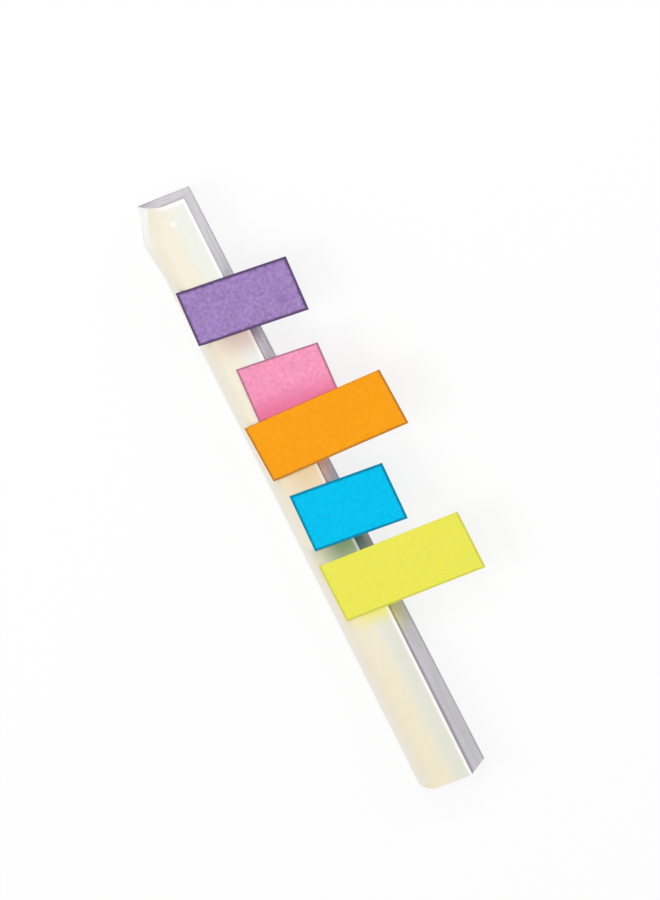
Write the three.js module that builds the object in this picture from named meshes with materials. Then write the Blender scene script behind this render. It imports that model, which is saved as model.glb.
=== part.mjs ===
// Sticky index tabs: five flat paper tabs stuck to the front edge of a narrow block of pages.
// Millimetres, +Z up. The block lies on its flat base with its length along Y and its head at +Y.
// The origin is the middle of that base.
// The tabs stick out towards +X, past the front edge of the block.
import * as THREE from "three";

// Block of pages
const blockLength = 216;
const blockHeight = 11;
const blockWidth = 20.7; // at the base
const headWidth = 18.2; // at the base, where the head end is drawn in
const headTaperLength = 14;
const shoulder = 1.2; // how far the back edge stands out where the drawn-in end begins
const shoulderFade = 12;
const toeHeight = 0.5; // what is left of the leaves at the thin back edge
const levelWidth = 12.5; // level strip of the top behind the front edge
const headLevelWidth = 6; // the same strip on the head end
const fallPower = 1.7; // 1 is a straight slope, 2 a parabola
const frontEdgeFan = 2.8; // how far the lowest leaf has slid out at the tail
const topLeafThickness = 0.35;
const topLeafOverhang = 0.3;

// Tabs
const tabThickness = 0.2;
const glueFilm = 0.05; // clear film under each tab
const curlRadius = 1200; // slow upward bend of the free ends
const backFollow = 0.1; // share of the page's fall that a stiff back end follows
const curlSteps = 6;

// Where the middle of each tab crosses the front edge of the block, measured from the head
const purpleFromHead = 38.8;
const pinkFromHead = 69.6;
const orangeFromHead = 88.1;
const blueFromHead = 116;
const yellowFromHead = 141.4;

// How far each tab reaches back over the page
const purpleBack = 17.2;
const pinkBack = 10.5;
const orangeBack = 15.9;
const blueBack = 13.3;
const yellowBack = 14.7;

// How far each tab sticks out past the front edge
const purpleFront = 21.3;
const pinkFront = 18;
const orangeFront = 33.4;
const blueFront = 19.5;
const yellowFront = 35.2;

// How wide each tab is along the block
const purpleWidth = 19.3;
const pinkWidth = 19.5;
const orangeWidth = 20.2;
const blueWidth = 20.5;
const yellowWidth = 20.8;

// turn: degrees, seen from above. layer: 0 lies on the page, 1 lies on the tab beside it.
const tabs = [
  {
    name: "tab_purple",
    color: 0x9f81b8,
    fromHead: purpleFromHead,
    back: purpleBack,
    front: purpleFront,
    width: purpleWidth,
    turn: -2.9,
    layer: 0,
  },
  {
    name: "tab_pink",
    color: 0xf091b3,
    fromHead: pinkFromHead,
    back: pinkBack,
    front: pinkFront,
    width: pinkWidth,
    turn: -2.9,
    layer: 0,
  },
  {
    name: "tab_orange",
    color: 0xf7a123,
    fromHead: orangeFromHead,
    back: orangeBack,
    front: orangeFront,
    width: orangeWidth,
    turn: 2.3,
    layer: 1,
  },
  {
    name: "tab_blue",
    color: 0x09bdea,
    fromHead: blueFromHead,
    back: blueBack,
    front: blueFront,
    width: blueWidth,
    turn: -1.5,
    layer: 0,
  },
  {
    name: "tab_yellow",
    color: 0xece95a,
    fromHead: yellowFromHead,
    back: yellowBack,
    front: yellowFront,
    width: yellowWidth,
    turn: 0.4,
    layer: 0,
  },
];

const pageColor = 0xf3ebd8;

const sectionSteps = 16; // points on the falling part of the top
const taperSteps = 8; // sections along the drawn-in head end
const fadeSteps = 6; // sections along the stretch where the shoulder fades
const bodySteps = 5; // sections along the rest of the block

// Runs from 0 to 1 with no kink at either end.
function ease(t) {
  const u = Math.min(Math.max(t, 0), 1);
  return u * u * (3 - 2 * u);
}

// How far the page has fallen at a share of the way from the level strip to the thin back edge.
function pageFall(share) {
  return (blockHeight - toeHeight) * share ** fallPower;
}

// One cross-section of the block, as [x, z] points, at a distance from the head.
function blockSection(fromHead) {
  const drawnOut = ease(fromHead / headTaperLength);
  const standsOut = shoulder * drawnOut * (1 - ease((fromHead - headTaperLength) / shoulderFade));
  const width = THREE.MathUtils.lerp(headWidth, blockWidth, drawnOut) + standsOut;
  const level = THREE.MathUtils.lerp(headLevelWidth, levelWidth, drawnOut);
  const fan = (frontEdgeFan * fromHead) / blockLength;
  const underLeaf = blockHeight - topLeafThickness;
  const points = [
    [-width, 0],
    [fan, 0],
    [-topLeafOverhang, underLeaf],
    [0, underLeaf],
    [0, blockHeight],
  ];
  for (let i = 0; i <= sectionSteps; i += 1) {
    const t = i / sectionSteps;
    const x = -THREE.MathUtils.lerp(level, width, t);
    points.push([x, blockHeight - pageFall(t)]);
  }
  return points;
}

// Distances from the head at which the block has a section, close together where it is drawn in.
function blockStations() {
  const stations = [];
  for (let i = 0; i < taperSteps; i += 1) {
    stations.push((headTaperLength * i) / taperSteps);
  }
  for (let i = 0; i < fadeSteps; i += 1) {
    stations.push(headTaperLength + (shoulderFade * i) / fadeSteps);
  }
  for (let i = 0; i <= bodySteps; i += 1) {
    stations.push(THREE.MathUtils.lerp(headTaperLength + shoulderFade, blockLength, i / bodySteps));
  }
  return stations;
}

// Skins the sections in turn and closes both ends.
function blockGeometry() {
  const stations = blockStations();
  const positions = [];
  for (const fromHead of stations) {
    for (const [x, z] of blockSection(fromHead)) {
      positions.push(x, -fromHead, z);
    }
  }
  const ring = blockSection(0).length;
  const indices = [];
  for (let s = 0; s < stations.length - 1; s += 1) {
    for (let i = 0; i < ring; i += 1) {
      const next = (i + 1) % ring;
      const a = s * ring + i;
      const b = s * ring + next;
      const c = (s + 1) * ring + next;
      const d = (s + 1) * ring + i;
      indices.push(a, b, c, a, c, d);
    }
  }
  for (const [station, first] of [[0, true], [stations.length - 1, false]]) {
    const outline = blockSection(stations[station]).map(([x, z]) => new THREE.Vector2(x, z));
    for (const [i, j, k] of THREE.ShapeUtils.triangulateShape(outline, [])) {
      const start = station * ring;
      indices.push(start + i, start + (first ? k : j), start + (first ? j : k));
    }
  }
  const geometry = new THREE.BufferGeometry();
  geometry.setAttribute("position", new THREE.Float32BufferAttribute(positions, 3));
  geometry.setIndex(indices);
  geometry.computeVertexNormals();
  return geometry;
}

// Height of a tab's underside above the film, x being measured from the front edge of the block.
function tabRise(x) {
  if (x > 0) {
    return x ** 2 / (2 * curlRadius);
  }
  const pastLevel = Math.max(-x - levelWidth, 0);
  return -backFollow * pageFall(pastLevel / (blockWidth - levelWidth));
}

// The tab's side view, pushed out across its width.
function tabGeometry(tab) {
  const stops = [];
  if (tab.back > levelWidth) {
    for (let i = 0; i < curlSteps; i += 1) {
      stops.push(THREE.MathUtils.lerp(-tab.back, -levelWidth, i / curlSteps));
    }
    stops.push(-levelWidth);
  } else {
    stops.push(-tab.back);
  }
  for (let i = 0; i <= curlSteps; i += 1) {
    stops.push((tab.front * i) / curlSteps);
  }
  const lower = stops.map((x) => new THREE.Vector2(x, tabRise(x)));
  const upper = stops.map((x) => new THREE.Vector2(x, tabRise(x) + tabThickness)).reverse();
  const sideView = new THREE.Shape([...lower, ...upper]);
  const geometry = new THREE.ExtrudeGeometry(sideView, { depth: tab.width, bevelEnabled: false });
  geometry.translate(0, 0, -tab.width / 2);
  geometry.rotateX(Math.PI / 2);
  return geometry;
}

function paper(color, roughness) {
  return new THREE.MeshStandardMaterial({ color, roughness, metalness: 0 });
}

function makeBlock() {
  const mesh = new THREE.Mesh(blockGeometry(), paper(pageColor, 0.85));
  mesh.name = "page_block";
  return mesh;
}

function makeTab(tab) {
  const mesh = new THREE.Mesh(tabGeometry(tab), paper(tab.color, 0.75));
  mesh.name = tab.name;
  const height = blockHeight + glueFilm + tab.layer * (tabThickness + glueFilm);
  mesh.position.set(0, -tab.fromHead, height);
  mesh.rotation.z = THREE.MathUtils.degToRad(tab.turn);
  return mesh;
}

const stickyIndexTabs = new THREE.Group();
stickyIndexTabs.name = "sticky_index_tabs";
stickyIndexTabs.add(makeBlock());
for (const tab of tabs) {
  stickyIndexTabs.add(makeTab(tab));
}

stickyIndexTabs.position.set(blockWidth / 2, blockLength / 2, 0);

export default stickyIndexTabs;
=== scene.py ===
import math
import random

import bpy
from mathutils import Matrix, Vector, noise


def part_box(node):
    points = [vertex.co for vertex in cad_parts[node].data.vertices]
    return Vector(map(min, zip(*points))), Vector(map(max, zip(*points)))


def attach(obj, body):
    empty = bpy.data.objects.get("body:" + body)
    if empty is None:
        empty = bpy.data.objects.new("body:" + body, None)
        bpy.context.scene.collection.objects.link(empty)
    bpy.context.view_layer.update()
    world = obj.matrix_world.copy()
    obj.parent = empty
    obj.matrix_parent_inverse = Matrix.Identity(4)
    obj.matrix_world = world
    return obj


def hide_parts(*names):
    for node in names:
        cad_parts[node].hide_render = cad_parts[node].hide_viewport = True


# Sticky index tabs on the front edge of a narrow block of pages.
# Metres, +Z up, +X the way the tabs stick out, +Y towards the head of the block.

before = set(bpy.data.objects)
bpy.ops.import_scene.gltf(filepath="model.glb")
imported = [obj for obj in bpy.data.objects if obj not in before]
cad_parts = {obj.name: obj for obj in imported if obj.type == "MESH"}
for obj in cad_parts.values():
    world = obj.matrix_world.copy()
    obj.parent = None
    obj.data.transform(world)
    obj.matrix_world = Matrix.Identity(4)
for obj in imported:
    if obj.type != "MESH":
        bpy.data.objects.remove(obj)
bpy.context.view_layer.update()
blockLow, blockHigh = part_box("page_block")
print("frame loaded")


# Shader helpers

def screenColor(red, green, blue):
    # a colour as a screen shows it, 0 to 255, in Blender's linear values
    linear = []
    for value in (red, green, blue):
        share = value / 255
        linear.append(share / 12.92 if share <= 0.04045 else ((share + 0.055) / 1.055) ** 2.4)
    return (*linear, 1.0)


class Socket:
    # wraps an output, so that sums on it add Math nodes
    def __init__(self, shader, output):
        self.shader = shader
        self.output = output

    def math(self, operation, first, second):
        return self.shader.node("ShaderNodeMath", {"operation": operation}, {0: first, 1: second})

    def __add__(self, other):
        return self.math("ADD", self, other)

    __radd__ = __add__

    def __sub__(self, other):
        return self.math("SUBTRACT", self, other)

    def __rsub__(self, other):
        return self.math("SUBTRACT", other, self)

    def __mul__(self, other):
        return self.math("MULTIPLY", self, other)

    __rmul__ = __mul__

    def size(self):
        return self.math("ABSOLUTE", self, 0.0)

    def smaller(self, other):
        return self.math("MINIMUM", self, other)

    def rise(self, start, end):
        # 0 at start, 1 at end, smooth between them; start may be the larger
        settings = {"interpolation_type": "SMOOTHSTEP"}
        values = {"Value": self, "From Min": start, "From Max": end}
        return self.shader.node("ShaderNodeMapRange", settings, values)

    def within(self, limit, fade):
        # 1 below the limit, 0 above it, and smooth across it
        return self.rise(limit + fade, limit - fade)

    def other(self, name):
        # another output of the same node
        return Socket(self.shader, self.output.node.outputs[name])


class Shader:
    def __init__(self, name):
        self.material = bpy.data.materials.new(name)
        self.material.use_nodes = True
        self.tree = self.material.node_tree
        self.tree.nodes.clear()

    def node(self, kind, settings=None, values=None, output=0):
        made = self.tree.nodes.new(kind)
        for name, setting in (settings or {}).items():
            setattr(made, name, setting)
        for place, value in (values or {}).items():
            if isinstance(value, Socket):
                self.tree.links.new(value.output, made.inputs[place])
            else:
                made.inputs[place].default_value = value
        return Socket(self, made.outputs[output]) if made.outputs else None

    def mix(self, share, first, second, blend="MIX"):
        # inputs 0, 6 and 7 are the factor and the two colours, output 2 is the mixed colour
        settings = {"data_type": "RGBA", "blend_type": blend}
        return self.node("ShaderNodeMix", settings, {0: share, 6: first, 7: second}, output=2)

    def places(self):
        # the piece's own coordinates in millimetres, as a vector and as three numbers
        spot = self.node("ShaderNodeTexCoord", output="Object")
        scaled = self.node("ShaderNodeVectorMath", {"operation": "SCALE"}, {0: spot, "Scale": 1000.0})
        split = self.node("ShaderNodeSeparateXYZ", values={0: scaled})
        return scaled, split, split.other("Y"), split.other("Z")

    def stretched(self, vector, stretch):
        return self.node("ShaderNodeVectorMath", {"operation": "MULTIPLY"}, {0: vector, 1: stretch})

    def noise(self, vector, patch, detail=2.0, roughness=0.5):
        # patch is the width of one patch in millimetres; the values lie around 0.5
        values = {"Vector": vector, "Scale": 1 / patch, "Detail": detail, "Roughness": roughness}
        return self.node("ShaderNodeTexNoise", values=values)

    def shaded(self, color, shade):
        # the colour times a plain number
        grey = self.node("ShaderNodeCombineColor", values={0: shade, 1: shade, 2: shade})
        return self.mix(1.0, color, grey, "MULTIPLY")

    def bump(self, height, depth, under=None):
        values = {"Height": height, "Distance": depth, "Strength": 1.0}
        if under is not None:
            values["Normal"] = under
        return self.node("ShaderNodeBump", values=values)

    def finish(self, values):
        surface = self.node("ShaderNodeBsdfPrincipled", values=values)
        self.node("ShaderNodeOutputMaterial", values={"Surface": surface})
        return self.material


sharpAngle = 30  # degrees between faces, above which their edge stays sharp


def closedPiece(name, vertices, faces, slots, materials):
    # slots gives each face its material
    mesh = bpy.data.meshes.new(name)
    mesh.from_pydata(vertices, [], faces)
    for material in materials:
        mesh.materials.append(material)
    mesh.polygons.foreach_set("material_index", slots)
    mesh.polygons.foreach_set("use_smooth", [True] * len(faces))
    mesh.update()
    mesh.set_sharp_from_angle(angle=math.radians(sharpAngle))
    piece = bpy.data.objects.new(name, mesh)
    bpy.context.scene.collection.objects.link(piece)
    return piece


# Camera

cameraPlan = {
    "azimuth": 136.56,  # degrees, 0 looks along +Y
    "elevation": 66.33,
    "roll": -160.62,
    "aim": (0.01561, 0.01123, 0.00844),
    "distance": 4.0,
    "lens": 499.7,
    "sensor": 36,
    "near": 0.05,
    "far": 20,
}


def makeCamera(plan):
    turn = (
        Matrix.Rotation(math.radians(plan["azimuth"]), 4, "Z")
        @ Matrix.Rotation(math.radians(90 - plan["elevation"]), 4, "X")
        @ Matrix.Rotation(math.radians(plan["roll"]), 4, "Z")
    )
    back = turn.to_3x3() @ Vector((0, 0, 1))
    data = bpy.data.cameras.new("camera")
    data.lens = plan["lens"]
    data.sensor_fit = "VERTICAL"
    data.sensor_height = plan["sensor"]
    data.clip_start = plan["near"]
    data.clip_end = plan["far"]
    camera = bpy.data.objects.new("camera", data)
    camera.matrix_world = Matrix.Translation(Vector(plan["aim"]) + back * plan["distance"]) @ turn
    bpy.context.scene.collection.objects.link(camera)
    bpy.context.scene.camera = camera


makeCamera(cameraPlan)
print("camera set")


# Tabs: colours, and where they lie

# rimWidth is the width of the darker rim, painted shade along the cut edges, and headBare is how much
# narrower it is towards the head.
# The page and edge tints are painted shadow and painted coloured light bounced from a tab past its tail
# edge, on the page and on the cut edges, as far as pageReach and edgeReach. These widths and reaches are in
# millimetres.
tabs = {
    "purple": {
        "node": "tab_purple",
        "slot": "purple_paper",
        "turn": -2.9,
        "layer": 0,
        "color": screenColor(158, 130, 193),
        "speck": screenColor(169, 138, 182),
        "rimShade": screenColor(88, 68, 104),
        "rimWidth": 1.3,
        "headBare": 0.0,
        "grain": 0.9,  # how mottled the paper is
        "seed": 3,
        "pageTint": screenColor(216, 186, 174),
        "edgeTint": screenColor(184, 158, 184),
        "pageReach": 11.0,
        "edgeReach": 9.0,
    },
    "pink": {
        "node": "tab_pink",
        "slot": "pink_paper",
        "turn": -2.9,
        "layer": 0,
        "color": screenColor(247, 151, 190),
        "speck": screenColor(246, 163, 187),
        "tailShade": screenColor(232, 112, 152),  # painted shade, deeper where the next tab covers it
        "rimShade": screenColor(176, 118, 140),
        "rimWidth": 0.95,
        "headBare": 0.15,
        "grain": 0.5,
        "seed": 17,
        "pageTint": screenColor(250, 232, 232),
        "edgeTint": screenColor(230, 190, 205),
        "pageReach": 3.0,
        "edgeReach": 12.0,
    },
    "orange": {
        "node": "tab_orange",
        "slot": "orange_paper",
        "turn": 2.3,
        "layer": 1,
        "color": screenColor(252, 161, 18),
        "speck": screenColor(250, 167, 38),
        "rimShade": screenColor(188, 124, 40),
        "rimWidth": 0.95,
        "headBare": 0.6,
        "grain": 0.2,
        "seed": 29,
        "pageTint": screenColor(237, 207, 160),
        "edgeTint": screenColor(255, 198, 172),
        "pageReach": 18.0,
        "edgeReach": 14.0,
    },
    "blue": {
        "node": "tab_blue",
        "slot": "blue_paper",
        "turn": -1.5,
        "layer": 0,
        "color": screenColor(0, 197, 244),
        "speck": screenColor(4, 190, 236),
        "rimShade": screenColor(8, 128, 160),
        "rimWidth": 1.15,
        "headBare": 0.0,
        "grain": 0.3,
        "seed": 41,
        "pageTint": screenColor(118, 142, 92),
        "edgeTint": screenColor(52, 126, 100),
        "pageReach": 18.0,
        "edgeReach": 14.0,
    },
    "yellow": {
        "node": "tab_yellow",
        "slot": "yellow_paper",
        "turn": 0.4,
        "layer": 0,
        "color": screenColor(239, 236, 85),
        "speck": screenColor(237, 233, 101),
        "rimShade": screenColor(210, 210, 80),
        "rimWidth": 0.85,
        "headBare": 0.9,
        "grain": 0.12,
        "seed": 53,
        "pageTint": screenColor(243, 235, 124),
        "edgeTint": screenColor(244, 236, 146),
        "pageReach": 7.0,
        "edgeReach": 15.0,
    },
}


def tabPlan(tab):
    # a tab's middle, turn, length and width; the sizes come from the box of its turned solid
    low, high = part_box(tab["node"])
    turn = math.radians(tab["turn"])
    boxX, boxY = high.x - low.x, high.y - low.y
    across, along = math.sin(abs(turn)), math.cos(turn)
    length = (boxX * along - boxY * across) / math.cos(2 * turn)
    width = (boxY * along - boxX * across) / math.cos(2 * turn)
    middle = ((low.x + high.x) / 2, (low.y + high.y) / 2)
    return middle, turn, length, width


# Block of pages

pageShape = {
    "level": 0.0125,  # level strip behind the front edge
    "headLevel": 0.006,
    "headWidth": 0.0182,
    "headTaper": 0.014,
    "shoulder": 0.0012,  # how far the back edge stands out where the head end is drawn in
    "shoulderFade": 0.012,
    "toe": 0.0005,  # height left at the thin back edge
    "fallPower": 1.7,
    "topLeaf": 0.00022,
    "topGap": 0.00013,  # shadow line under the top leaf
    "overhang": 0.0003,
    "leaf": 0.000135,  # one leaf and the air above it
    "leafAir": 0.000022,
    "jitter": 0.00005,  # how unevenly the leaves are stacked
    "wave": 0.00004,  # how far one leaf's front edge wanders along the block
    "wavesPerMetre": 60,
    "thinnest": 0.00001,  # what is left of a leaf where it comes down to the base
    "seed": 11,
}

# points along and across a leaf; of the lower ones only the cut margins show
leafSteps = {
    "top": {"head": 24, "body": 60, "level": 6, "fall": 26},
    "lower": {"head": 12, "body": 20, "level": 2, "fall": 5},
}

pageFace, cutEdge = 0, 1  # places of the block's two materials

# Lengths are millimetres behind the front edge or from the head. A pair runs from no effect to full effect.
faceLook = {
    "cream": screenColor(246, 239, 219),
    "white": screenColor(254, 254, 253),
    "coolShade": screenColor(240, 242, 234),  # painted shade: a cooler, greyer strip beside the front edge
    "coolReach": 6.5,
    "coolFade": 3.2,
    "wander": 1.5,  # how far the strips' borders stray
    "wanderPatch": 9.0,
    "toe": screenColor(254, 251, 243),  # painted highlight: the thin back edge, which faces the light, painted near white
    "toeHighlightBand": (14.0, 21.0),
    "toeWander": 0.4,  # share of wander at this border
    "tail": screenColor(241, 233, 203),
    "tailRun": (135.0, 180.0),
    "tailFront": (3.0, 8.0),
    "tailBack": (18.0, 12.0),
    "tailShare": 0.7,
    # painted shade: the cooler strip beside the front edge, darker towards the tail
    "coolTailShade": screenColor(228, 229, 212),
    "coolTailRun": (125.0, 165.0),
    "coolTailBand": (8.5, 3.0),
    "coolTailShare": 0.8,
    "warmer": screenColor(250, 237, 206),  # faint streaks along the block
    "streakPatch": 1.1,
    "streakStretch": (1.0, 0.22, 1.0),
    "streakBand": (0.48, 0.68),
    "streakFront": (4.0, 8.0),
    "streakShare": 0.3,
    "cornerBack": 13.8,  # the drawn-in corner is bare white behind a slanting line
    "cornerSlant": 0.5,
    "cornerFade": 0.5,
    # painted highlight along the front edge
    "frontEdgeHighlight": 0.9,
    "frontEdgeHighlightFade": 0.35,
    "throughTabShade": 0.3,  # how much of the painted front-edge highlight shows over the painted tab shade
    # painted highlight along the head edge
    "headEdgeHighlight": 1.3,
    "headEdgeHighlightFade": 0.8,
    "headEdgeHighlightBack": (14.0, 6.0),
    # painted shadow and coloured bounce light of the tabs on the page
    "tabShadeBack": (19.0, 4.5),
    "tabShadeShare": 0.95,
    "tabShadeUnder": 1.2,
    "spotRadius": 1.05,
    "spotFade": 0.35,
    "spotShare": 0.8,
    "spotBack": 6.9,
    "spotFromHead": 6.7,
    "fleckPatch": 0.35,
    "shade": 0.955,  # where streaks and flecks don't lighten it
    "streakShade": 0.06,
    "fleckShade": 0.03,
    "fleckDepth": 0.00002,  # metres
    "swellPatch": 6.0,
    "swellDepth": 0.00012,
    "roughness": 0.72,
    "fleckRoughness": 0.12,
    "specular": 0.3,
}

# Heights are millimetres above the base, depths are below the top.
edgeLook = {
    "paper": screenColor(243, 241, 245),
    "white": screenColor(254, 254, 253),  # painted highlight on the edge of the top leaf
    "tail": screenColor(230, 229, 233),
    "tailRun": (40.0, 172.8),
    "dark": screenColor(180, 176, 186),
    "darkBand": (0.4, 0.7),
    "lineStretch": (0.15, 0.02, 4.0),
    "linePatch": 0.5,
    "lineShare": 0.3,
    "driftStretch": (0.5, 0.12, 1.6),
    "driftPatch": 2.4,
    "driftShare": 0.2,
    # painted shade, darker towards the foot of the cut edges
    "footShadeHeights": (1.6, 0.2),
    "footShadeShare": 0.55,
    # painted shadow and coloured bounce light of the tabs on the cut edges
    "tabShadeHeights": (-3.0, 8.0),
    "tabShadeShare": 0.85,
    "tabShadeUnder": 17.0,
    "leafShade": screenColor(204, 201, 207),  # shade of the top leaf on the leaves under it
    "leafShadeDepths": (2.9, 1.4),
    "leafShadeHead": 0.55,
    "leafShadeMore": 0.4,  # added past the head end
    "leafShadeRun": (25.0, 55.0),
    "topLeafHighlightDepths": (0.3, 0.2),
    "lineDepth": 0.00003,  # metres
    "roughness": 0.85,
    "specular": 0.25,
}

frontEdge = -blockLow.x - pageShape["shoulder"]
halfLength = blockHigh.y
blockHeight = blockHigh.z
blockWidth = 2 * frontEdge
blockFan = blockHigh.x - frontEdge


def blend(first, second, share):
    return first + (second - first) * share


def ease(share):
    held = min(max(share, 0), 1)
    return held * held * (3 - 2 * held)


def sectionAt(fromHead):
    # width of the block and of its level strip at a distance from the head
    drawnOut = ease(fromHead / pageShape["headTaper"])
    faded = ease((fromHead - pageShape["headTaper"]) / pageShape["shoulderFade"])
    width = blend(pageShape["headWidth"], blockWidth, drawnOut)
    width += pageShape["shoulder"] * drawnOut * (1 - faded)
    level = blend(pageShape["headLevel"], pageShape["level"], drawnOut)
    return width, level


def fallAt(behind, width, level):
    # how far the page has dropped at a distance behind the front edge
    share = min(max((behind - level) / (width - level), 0), 1)
    return (blockHeight - pageShape["toe"]) * share ** pageShape["fallPower"]


def reachAt(depth, width, level):
    # how far behind the front edge a leaf that lies this deep comes down to the base
    share = min((blockHeight - depth) / (blockHeight - pageShape["toe"]), 1)
    return level + (width - level) * share ** (1 / pageShape["fallPower"])


def leafColumns(front, level, reach, steps):
    # distances behind the front edge at which a leaf has points
    columns = [blend(front, level, i / steps["level"]) for i in range(steps["level"])]
    columns += [blend(level, reach, i / steps["fall"]) for i in range(steps["fall"] + 1)]
    return columns


def stationsAlong(steps):
    # distances from the head, close together where the block is drawn in
    headEnd = pageShape["headTaper"] + pageShape["shoulderFade"]
    stations = [headEnd * i / steps["head"] for i in range(steps["head"])]
    stations += [blend(headEnd, 2 * halfLength, i / steps["body"]) for i in range(steps["body"] + 1)]
    return stations


def addLeaf(vertices, faces, slots, outline, steps, faceSlot):
    # outline(fromHead) gives the leaf's front, depth and thickness, and its shift along Y
    start = len(vertices)
    count = steps["level"] + steps["fall"] + 1
    stations = stationsAlong(steps)
    for fromHead in stations:
        front, depth, thickness, shift = outline(fromHead)
        width, level = sectionAt(fromHead)
        reach = reachAt(depth, width, level)
        for behind in leafColumns(front, level, reach, steps):
            upper = max(blockHeight - depth - fallAt(behind, width, level), pageShape["thinnest"])
            lower = max(upper - thickness, 0)
            x = frontEdge - behind
            y = halfLength - fromHead + shift
            vertices.append((x, y, upper))
            vertices.append((x, y, lower))

    def at(station, column, under):
        return start + 2 * (station * count + column) + under

    last = len(stations) - 1
    for s in range(last):
        for c in range(count - 1):
            faces.append((at(s, c, 0), at(s, c + 1, 0), at(s + 1, c + 1, 0), at(s + 1, c, 0)))
            faces.append((at(s, c, 1), at(s + 1, c, 1), at(s + 1, c + 1, 1), at(s, c + 1, 1)))
            slots += [faceSlot, faceSlot]
        faces.append((at(s, 0, 0), at(s + 1, 0, 0), at(s + 1, 0, 1), at(s, 0, 1)))
        end = count - 1
        faces.append((at(s, end, 0), at(s, end, 1), at(s + 1, end, 1), at(s + 1, end, 0)))
        slots += [cutEdge, cutEdge]
    for c in range(count - 1):
        faces.append((at(0, c, 0), at(0, c, 1), at(0, c + 1, 1), at(0, c + 1, 0)))
        faces.append((at(last, c, 0), at(last, c + 1, 0), at(last, c + 1, 1), at(last, c, 1)))
        slots += [cutEdge, cutEdge]


def pageBlock(materials):
    chance = random.Random(pageShape["seed"])
    vertices, faces, slots = [], [], []

    def topOutline(fromHead):
        return 0.0, 0.0, pageShape["topLeaf"], 0.0

    addLeaf(vertices, faces, slots, topOutline, leafSteps["top"], pageFace)
    firstDepth = pageShape["topLeaf"] + pageShape["topGap"]
    leafCount = int((blockHeight - firstDepth) / pageShape["leaf"])
    for index in range(leafCount):
        depth = firstDepth + index * pageShape["leaf"]
        share = (index + 0.5) / leafCount
        shift = chance.uniform(-1, 1) * pageShape["jitter"]
        sideShift = chance.uniform(-1, 1) * pageShape["jitter"]
        phase = chance.uniform(0, 100)

        def outline(fromHead):
            fanned = blockFan * fromHead / (2 * halfLength)
            along = fromHead * pageShape["wavesPerMetre"]
            wander = pageShape["wave"] * noise.noise(Vector((along, phase, 0)))
            front = blend(pageShape["overhang"], -fanned, share) + sideShift + wander
            return front, depth, pageShape["leaf"] - pageShape["leafAir"], shift

        addLeaf(vertices, faces, slots, outline, leafSteps["lower"], cutEdge)
    return closedPiece("pageBlock", vertices, faces, slots, materials)


def paintTabShadeAndBounce(shader, color, x, y, place, strength, under):
    # paints each tab's shadow and its coloured bounced light on the paper past its tail edge, fading out
    # under the tab; place is page or edge
    for tab in tabs.values():
        middle, turn, length, width = tabPlan(tab)
        slope = math.tan(turn)
        tailEdge = (middle[1] - width / (2 * math.cos(turn)) - middle[0] * slope) * 1000
        past = x * slope + tailEdge - y
        share = past.rise(tab[place + "Reach"], 0.0) * past.rise(-under, 0.0)
        color = shader.mix(share * strength, color, tab[place + "Tint"])
    return color


def pageFacePaper(look):
    shader = Shader("creamPage")
    spot, x, y, _ = shader.places()
    behind = frontEdge * 1000 - x
    fromHead = halfLength * 1000 - y
    wander = shader.noise(spot, look["wanderPatch"]) * (2 * look["wander"]) - look["wander"]
    # painted shade: a cooler strip beside the front edge
    coolShadeStrip = (behind + wander).within(look["coolReach"], look["coolFade"])
    color = shader.mix(coolShadeStrip, look["cream"], look["coolShade"])
    # painted highlight: the thin back edge near white
    toeHighlight = (behind + wander * look["toeWander"]).rise(*look["toeHighlightBand"])
    color = shader.mix(toeHighlight, color, look["toe"])
    middle = behind.rise(*look["tailFront"]) * behind.rise(*look["tailBack"])
    nearTail = fromHead.rise(*look["tailRun"]) * middle
    color = shader.mix(nearTail * look["tailShare"], color, look["tail"])
    # painted shade: the cooler strip, darker towards the tail
    coolTailShade = fromHead.rise(*look["coolTailRun"]) * behind.rise(*look["coolTailBand"])
    color = shader.mix(coolTailShade * look["coolTailShare"], color, look["coolTailShade"])
    streak = shader.noise(shader.stretched(spot, look["streakStretch"]), look["streakPatch"], detail=3.0)
    streaks = streak.rise(*look["streakBand"]) * behind.rise(*look["streakFront"])
    color = shader.mix(streaks * look["streakShare"], color, look["warmer"])
    pastCorner = behind - fromHead * look["cornerSlant"] - look["cornerBack"]
    color = shader.mix(pastCorner.rise(-look["cornerFade"], look["cornerFade"]), color, look["white"])
    # painted highlight along the front edge
    frontEdgeHighlight = behind.within(look["frontEdgeHighlight"], look["frontEdgeHighlightFade"])
    color = shader.mix(frontEdgeHighlight, color, look["white"])
    # painted shadow and coloured bounce light of the tabs on the page
    tabShadeShare = behind.rise(*look["tabShadeBack"]) * look["tabShadeShare"]
    color = paintTabShadeAndBounce(shader, color, x, y, "page", tabShadeShare, look["tabShadeUnder"])
    color = shader.mix(frontEdgeHighlight * look["throughTabShade"], color, look["white"])
    # painted highlight along the head edge
    headEdgeHighlight = fromHead.within(look["headEdgeHighlight"], look["headEdgeHighlightFade"]) * behind.rise(*look["headEdgeHighlightBack"])
    color = shader.mix(headEdgeHighlight, color, look["white"])
    across = behind - look["spotBack"]
    along = fromHead - look["spotFromHead"]
    apart = shader.node("ShaderNodeMath", {"operation": "SQRT"}, {0: across * across + along * along})
    spotShare = apart.within(look["spotRadius"], look["spotFade"]) * look["spotShare"]
    color = shader.mix(spotShare, color, look["white"])
    fleck = shader.noise(spot, look["fleckPatch"], detail=3.0, roughness=0.6)
    color = shader.shaded(color, look["shade"] + streak * look["streakShade"] + fleck * look["fleckShade"])
    swell = shader.noise(spot, look["swellPatch"], detail=1.0)
    tooth = shader.bump(fleck, look["fleckDepth"])
    tooth = shader.bump(swell, look["swellDepth"], tooth)
    return shader.finish({
        "Base Color": color,
        "Roughness": look["roughness"] + fleck * look["fleckRoughness"],
        "Specular IOR Level": look["specular"],
        "Normal": tooth,
    })


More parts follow.
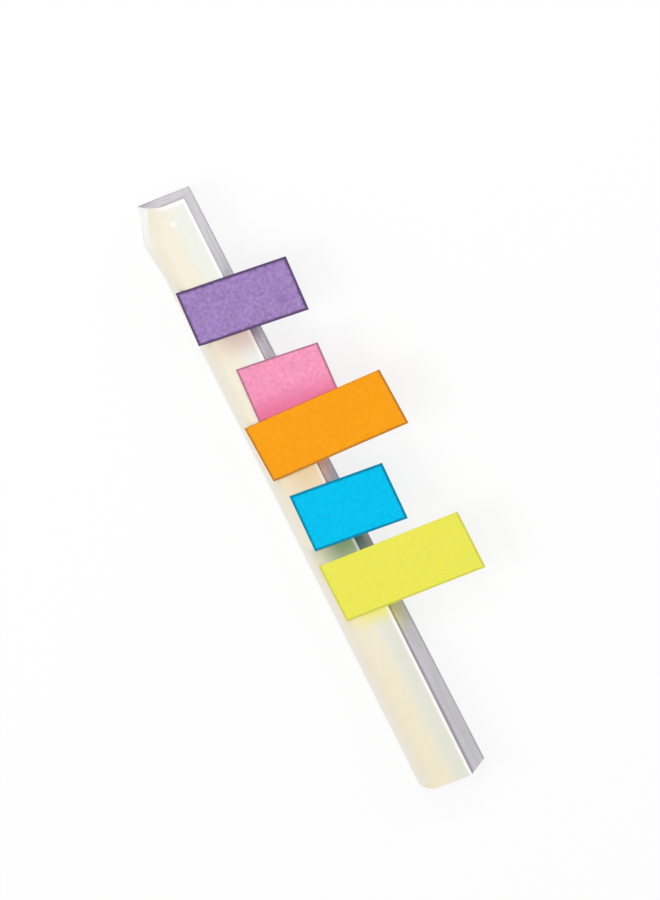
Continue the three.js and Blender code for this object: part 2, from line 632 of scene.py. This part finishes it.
def pageEdgePaper(look):
    shader = Shader("cutPageEdges")
    spot, x, y, z = shader.places()
    fromHead = halfLength * 1000 - y
    depth = blockHeight * 1000 - z
    color = shader.mix(fromHead.rise(*look["tailRun"]), look["paper"], look["tail"])
    lineSpot = shader.stretched(spot, look["lineStretch"])
    lines = shader.noise(lineSpot, look["linePatch"], detail=3.0, roughness=0.6)
    drift = shader.noise(shader.stretched(spot, look["driftStretch"]), look["driftPatch"])
    # painted shade, darker towards the foot of the cut edges
    footShade = z.rise(*look["footShadeHeights"]) * look["footShadeShare"]
    darkLines = lines.rise(*look["darkBand"]) * look["lineShare"]
    darkPatches = drift.rise(*look["darkBand"]) * look["driftShare"]
    color = shader.mix(darkLines + darkPatches + footShade, color, look["dark"])
    # painted shadow and coloured bounce light of the tabs on the cut edges
    tabShadeShare = z.rise(*look["tabShadeHeights"]) * look["tabShadeShare"]
    color = paintTabShadeAndBounce(shader, color, x, y, "edge", tabShadeShare, look["tabShadeUnder"])
    shadeShare = look["leafShadeHead"] + fromHead.rise(*look["leafShadeRun"]) * look["leafShadeMore"]
    shadeShare = depth.rise(*look["leafShadeDepths"]) * shadeShare
    color = shader.mix(shadeShare, color, look["leafShade"], "MULTIPLY")
    # painted highlight on the edge of the top leaf
    color = shader.mix(depth.rise(*look["topLeafHighlightDepths"]), color, look["white"])
    return shader.finish({
        "Base Color": color,
        "Roughness": look["roughness"],
        "Specular IOR Level": look["specular"],
        "Normal": shader.bump(lines, look["lineDepth"]),
    })


block = pageBlock([pageFacePaper(faceLook), pageEdgePaper(edgeLook)])
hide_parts("page_block")
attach(block, "root")
print("block of pages made")


# Tabs

tabShape = {
    "thickness": 0.0002,
    "film": 0.00005,  # glue under a tab
    "curlRadius": 1.2,
    "backFollow": 0.1,  # share of the page's fall that a stiff back end follows
    "freeFrom": 0.012,  # past the front edge, where ripple and edge lift become full
    "edgeLift": 0.00007,  # how far the long edges of a free end stand up
    "edgePower": 4,
    "wave": 0.00005,
    "wavesAlong": 55,  # per metre
    "wavesAcross": 0.9,
    "alongSteps": 72,
    "acrossSteps": 28,
}

# Patches and widths are in millimetres, depths in metres. A pair runs from no effect to full effect.
tabLook = {
    "seedStep": 7.0,
    "mottlePatch": 1.3,
    "mottleShade": 1.1,
    "mottleDepth": 0.00003,
    "cloudPatch": 7.0,
    "cloudShade": 0.3,
    "speckPatch": 0.8,
    "speckStretch": (1.0, 1.3, 1.0),
    "speckBand": (0.45, 0.62),
    "speckShare": 0.7,
    "fibrePatch": 0.16,
    "fibreStretch": (1.0, 0.45, 1.0),
    "fibreDepth": 0.000012,
    "tailShadeFrom": 1.0,  # across the sheet, where its middle is 0
    "tailShadeShare": 0.85,
    "rimFade": 0.45,
    "rimShare": 0.92,
    "rimStray": 0.5,
    "roughness": 0.66,
    "fibreRoughness": 0.16,
    "specular": 0.06,
}


def tabRise(pastEdge, side, seed):
    # height of the paper above its glue film, pastEdge metres past the front edge; side runs -1 to 1
    if pastEdge > 0:
        free = min(pastEdge / tabShape["freeFrom"], 1)
        lift = pastEdge ** 2 / (2 * tabShape["curlRadius"])
        waves = Vector((pastEdge * tabShape["wavesAlong"], side * tabShape["wavesAcross"], seed))
        ripple = tabShape["wave"] * noise.noise(waves)
        return lift + free * (ripple + tabShape["edgeLift"] * side ** tabShape["edgePower"])
    return -tabShape["backFollow"] * fallAt(-pastEdge, blockWidth, pageShape["level"])


def tabPaper(name, tab, look, length, width):
    shader = Shader(name + "Paper")
    spot, x, y, _ = shader.places()
    shift = (tab["seed"] * look["seedStep"], 0.0, 0.0)
    seeded = shader.node("ShaderNodeVectorMath", {"operation": "ADD"}, {0: spot, 1: shift})
    mottle = shader.noise(seeded, look["mottlePatch"], detail=3.0, roughness=0.6)
    clouds = shader.noise(seeded, look["cloudPatch"])
    specks = shader.noise(shader.stretched(seeded, look["speckStretch"]), look["speckPatch"])
    fibreSpot = shader.stretched(seeded, look["fibreStretch"])
    fibre = shader.noise(fibreSpot, look["fibrePatch"], detail=4.0, roughness=0.65)
    color = shader.mix(specks.rise(*look["speckBand"]) * look["speckShare"], tab["color"], tab["speck"])
    mottleShade = (mottle - 0.5) * (look["mottleShade"] * tab["grain"])
    cloudShade = (clouds - 0.5) * (look["cloudShade"] * tab["grain"])
    color = shader.shaded(color, 1.0 + mottleShade + cloudShade)
    halfSheet = length * 1000 / 2
    halfAcross = width * 1000 / 2
    # painted shade, deeper where the next tab covers the sheet
    if "tailShade" in tab:
        nearTail = y.rise(look["tailShadeFrom"], look["tailShadeFrom"] - halfAcross)
        color = shader.mix(nearTail * look["tailShadeShare"], color, tab["tailShade"])
    toEnd = halfSheet - x.size()
    toTail = y + halfAcross
    toHead = halfAcross + tab["headBare"] - y
    # painted shade along the tab's cut rim, narrower towards the head
    border = toEnd.smaller(toTail).smaller(toHead) + (mottle - 0.5) * look["rimStray"]
    color = shader.mix(border.rise(tab["rimWidth"], look["rimFade"]) * look["rimShare"], color, tab["rimShade"])
    tooth = shader.bump(fibre, look["fibreDepth"])
    tooth = shader.bump(mottle, look["mottleDepth"], tooth)
    return shader.finish({
        "Base Color": color,
        "Roughness": look["roughness"] + fibre * look["fibreRoughness"],
        "Specular IOR Level": look["specular"],
        "Normal": tooth,
    })


def stickyTab(name, tab):
    middle, turn, length, width = tabPlan(tab)
    edgeOffset = (middle[0] - frontEdge) / math.cos(turn)
    stepsX, stepsY = tabShape["alongSteps"], tabShape["acrossSteps"]
    vertices, faces = [], []
    for i in range(stepsX + 1):
        x = length * (i / stepsX - 0.5)
        for j in range(stepsY + 1):
            side = 2 * j / stepsY - 1
            rise = tabRise(x + edgeOffset, side, tab["seed"])
            vertices.append((x, side * width / 2, rise + tabShape["thickness"]))
            vertices.append((x, side * width / 2, rise))

    def at(i, j, under):
        return 2 * (i * (stepsY + 1) + j) + under

    for i in range(stepsX):
        for j in range(stepsY):
            faces.append((at(i, j, 0), at(i + 1, j, 0), at(i + 1, j + 1, 0), at(i, j + 1, 0)))
            faces.append((at(i, j, 1), at(i, j + 1, 1), at(i + 1, j + 1, 1), at(i + 1, j, 1)))
        faces.append((at(i, 0, 0), at(i, 0, 1), at(i + 1, 0, 1), at(i + 1, 0, 0)))
        faces.append((at(i, stepsY, 0), at(i + 1, stepsY, 0), at(i + 1, stepsY, 1), at(i, stepsY, 1)))
    for j in range(stepsY):
        faces.append((at(0, j, 0), at(0, j + 1, 0), at(0, j + 1, 1), at(0, j, 1)))
        faces.append((at(stepsX, j, 0), at(stepsX, j, 1), at(stepsX, j + 1, 1), at(stepsX, j + 1, 0)))
    material = tabPaper(name, tab, tabLook, length, width)
    piece = closedPiece(name + "Tab", vertices, faces, [0] * len(faces), [material])
    height = blockHeight + tabShape["film"] + tab["layer"] * (tabShape["thickness"] + tabShape["film"])
    piece.location = (middle[0], middle[1], height)
    piece.rotation_euler = (0, 0, turn)
    return piece


bpy.context.view_layer.update()
for name, tab in tabs.items():
    piece = stickyTab(name, tab)
    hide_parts(tab["node"])
    bpy.context.view_layer.update()
    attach(piece, "root")
print("tabs made")


# Floor and light

stage = {
    "floorSize": 6.0,
    "floorColor": (0.62, 0.62, 0.62, 1.0),
    "seenColor": (0.98, 0.98, 0.98, 1.0),  # the floor as the camera sees it
    "glow": 0.8,  # share of plain white in what the camera sees of the floor
    "skyColor": (1.0, 1.0, 1.0, 1.0),
    "skyStrength": 0.585,
    "lampDistance": 1.2,
}

lamps = {
    "leftWindow": {
        "azimuth": 285,
        "elevation": 45,
        "size": 0.7,
        "power": 4.3,
        "color": (1.0, 1.0, 1.0),
    },
    "frontFill": {
        "azimuth": 75,
        "elevation": 20,
        "size": 0.9,
        "power": 3.5,
        "color": (1.0, 1.0, 1.0),
    },
    "headWindow": {
        "azimuth": 20,
        "elevation": 38,
        "size": 0.3,
        "power": 2.2,
        "color": (1.0, 0.99, 0.97),
    },
    "topSoftbox": {
        "azimuth": 140,
        "elevation": 80,
        "size": 0.9,
        "power": 0.7,
        "color": (1.0, 1.0, 1.0),
    },
}


def makeFloor(plan):
    half = plan["floorSize"] / 2
    mesh = bpy.data.meshes.new("floor")
    corners = [(-half, -half, 0), (half, -half, 0), (half, half, 0), (-half, half, 0)]
    mesh.from_pydata(corners, [], [(0, 1, 2, 3)])
    floor = bpy.data.objects.new("floor", mesh)
    bpy.context.scene.collection.objects.link(floor)
    shader = Shader("paleFloor")
    seen = shader.node("ShaderNodeLightPath", output="Is Camera Ray")
    color = shader.mix(seen, plan["floorColor"], plan["seenColor"])
    plain = shader.node("ShaderNodeBsdfDiffuse", values={"Color": color})
    white = shader.node("ShaderNodeEmission", values={"Color": (1.0, 1.0, 1.0, 1.0), "Strength": 1.0})
    mixed = shader.node("ShaderNodeMixShader", values={0: seen * plan["glow"], 1: plain, 2: white})
    shader.node("ShaderNodeOutputMaterial", values={"Surface": mixed})
    mesh.materials.append(shader.material)


def makeLamp(name, plan):
    data = bpy.data.lights.new(name, "AREA")
    data.shape = "DISK"
    data.size = plan["size"]
    data.energy = plan["power"]
    data.color = plan["color"]
    across, up = math.radians(plan["azimuth"]), math.radians(plan["elevation"])
    way = Vector((math.sin(across) * math.cos(up), math.cos(across) * math.cos(up), math.sin(up)))
    lamp = bpy.data.objects.new(name, data)
    lamp.location = way * stage["lampDistance"]
    lamp.rotation_euler = way.to_track_quat("Z", "Y").to_euler()
    bpy.context.scene.collection.objects.link(lamp)


def makeSky(plan):
    world = bpy.data.worlds.new("sky")
    bpy.context.scene.world = world
    world.use_nodes = True
    background = world.node_tree.nodes["Background"]
    background.inputs["Color"].default_value = plan["skyColor"]
    background.inputs["Strength"].default_value = plan["skyStrength"]


makeFloor(stage)
makeSky(stage)
for name, plan in lamps.items():
    makeLamp(name, plan)
bpy.context.scene.view_settings.view_transform = "Standard"
print("floor and light set")
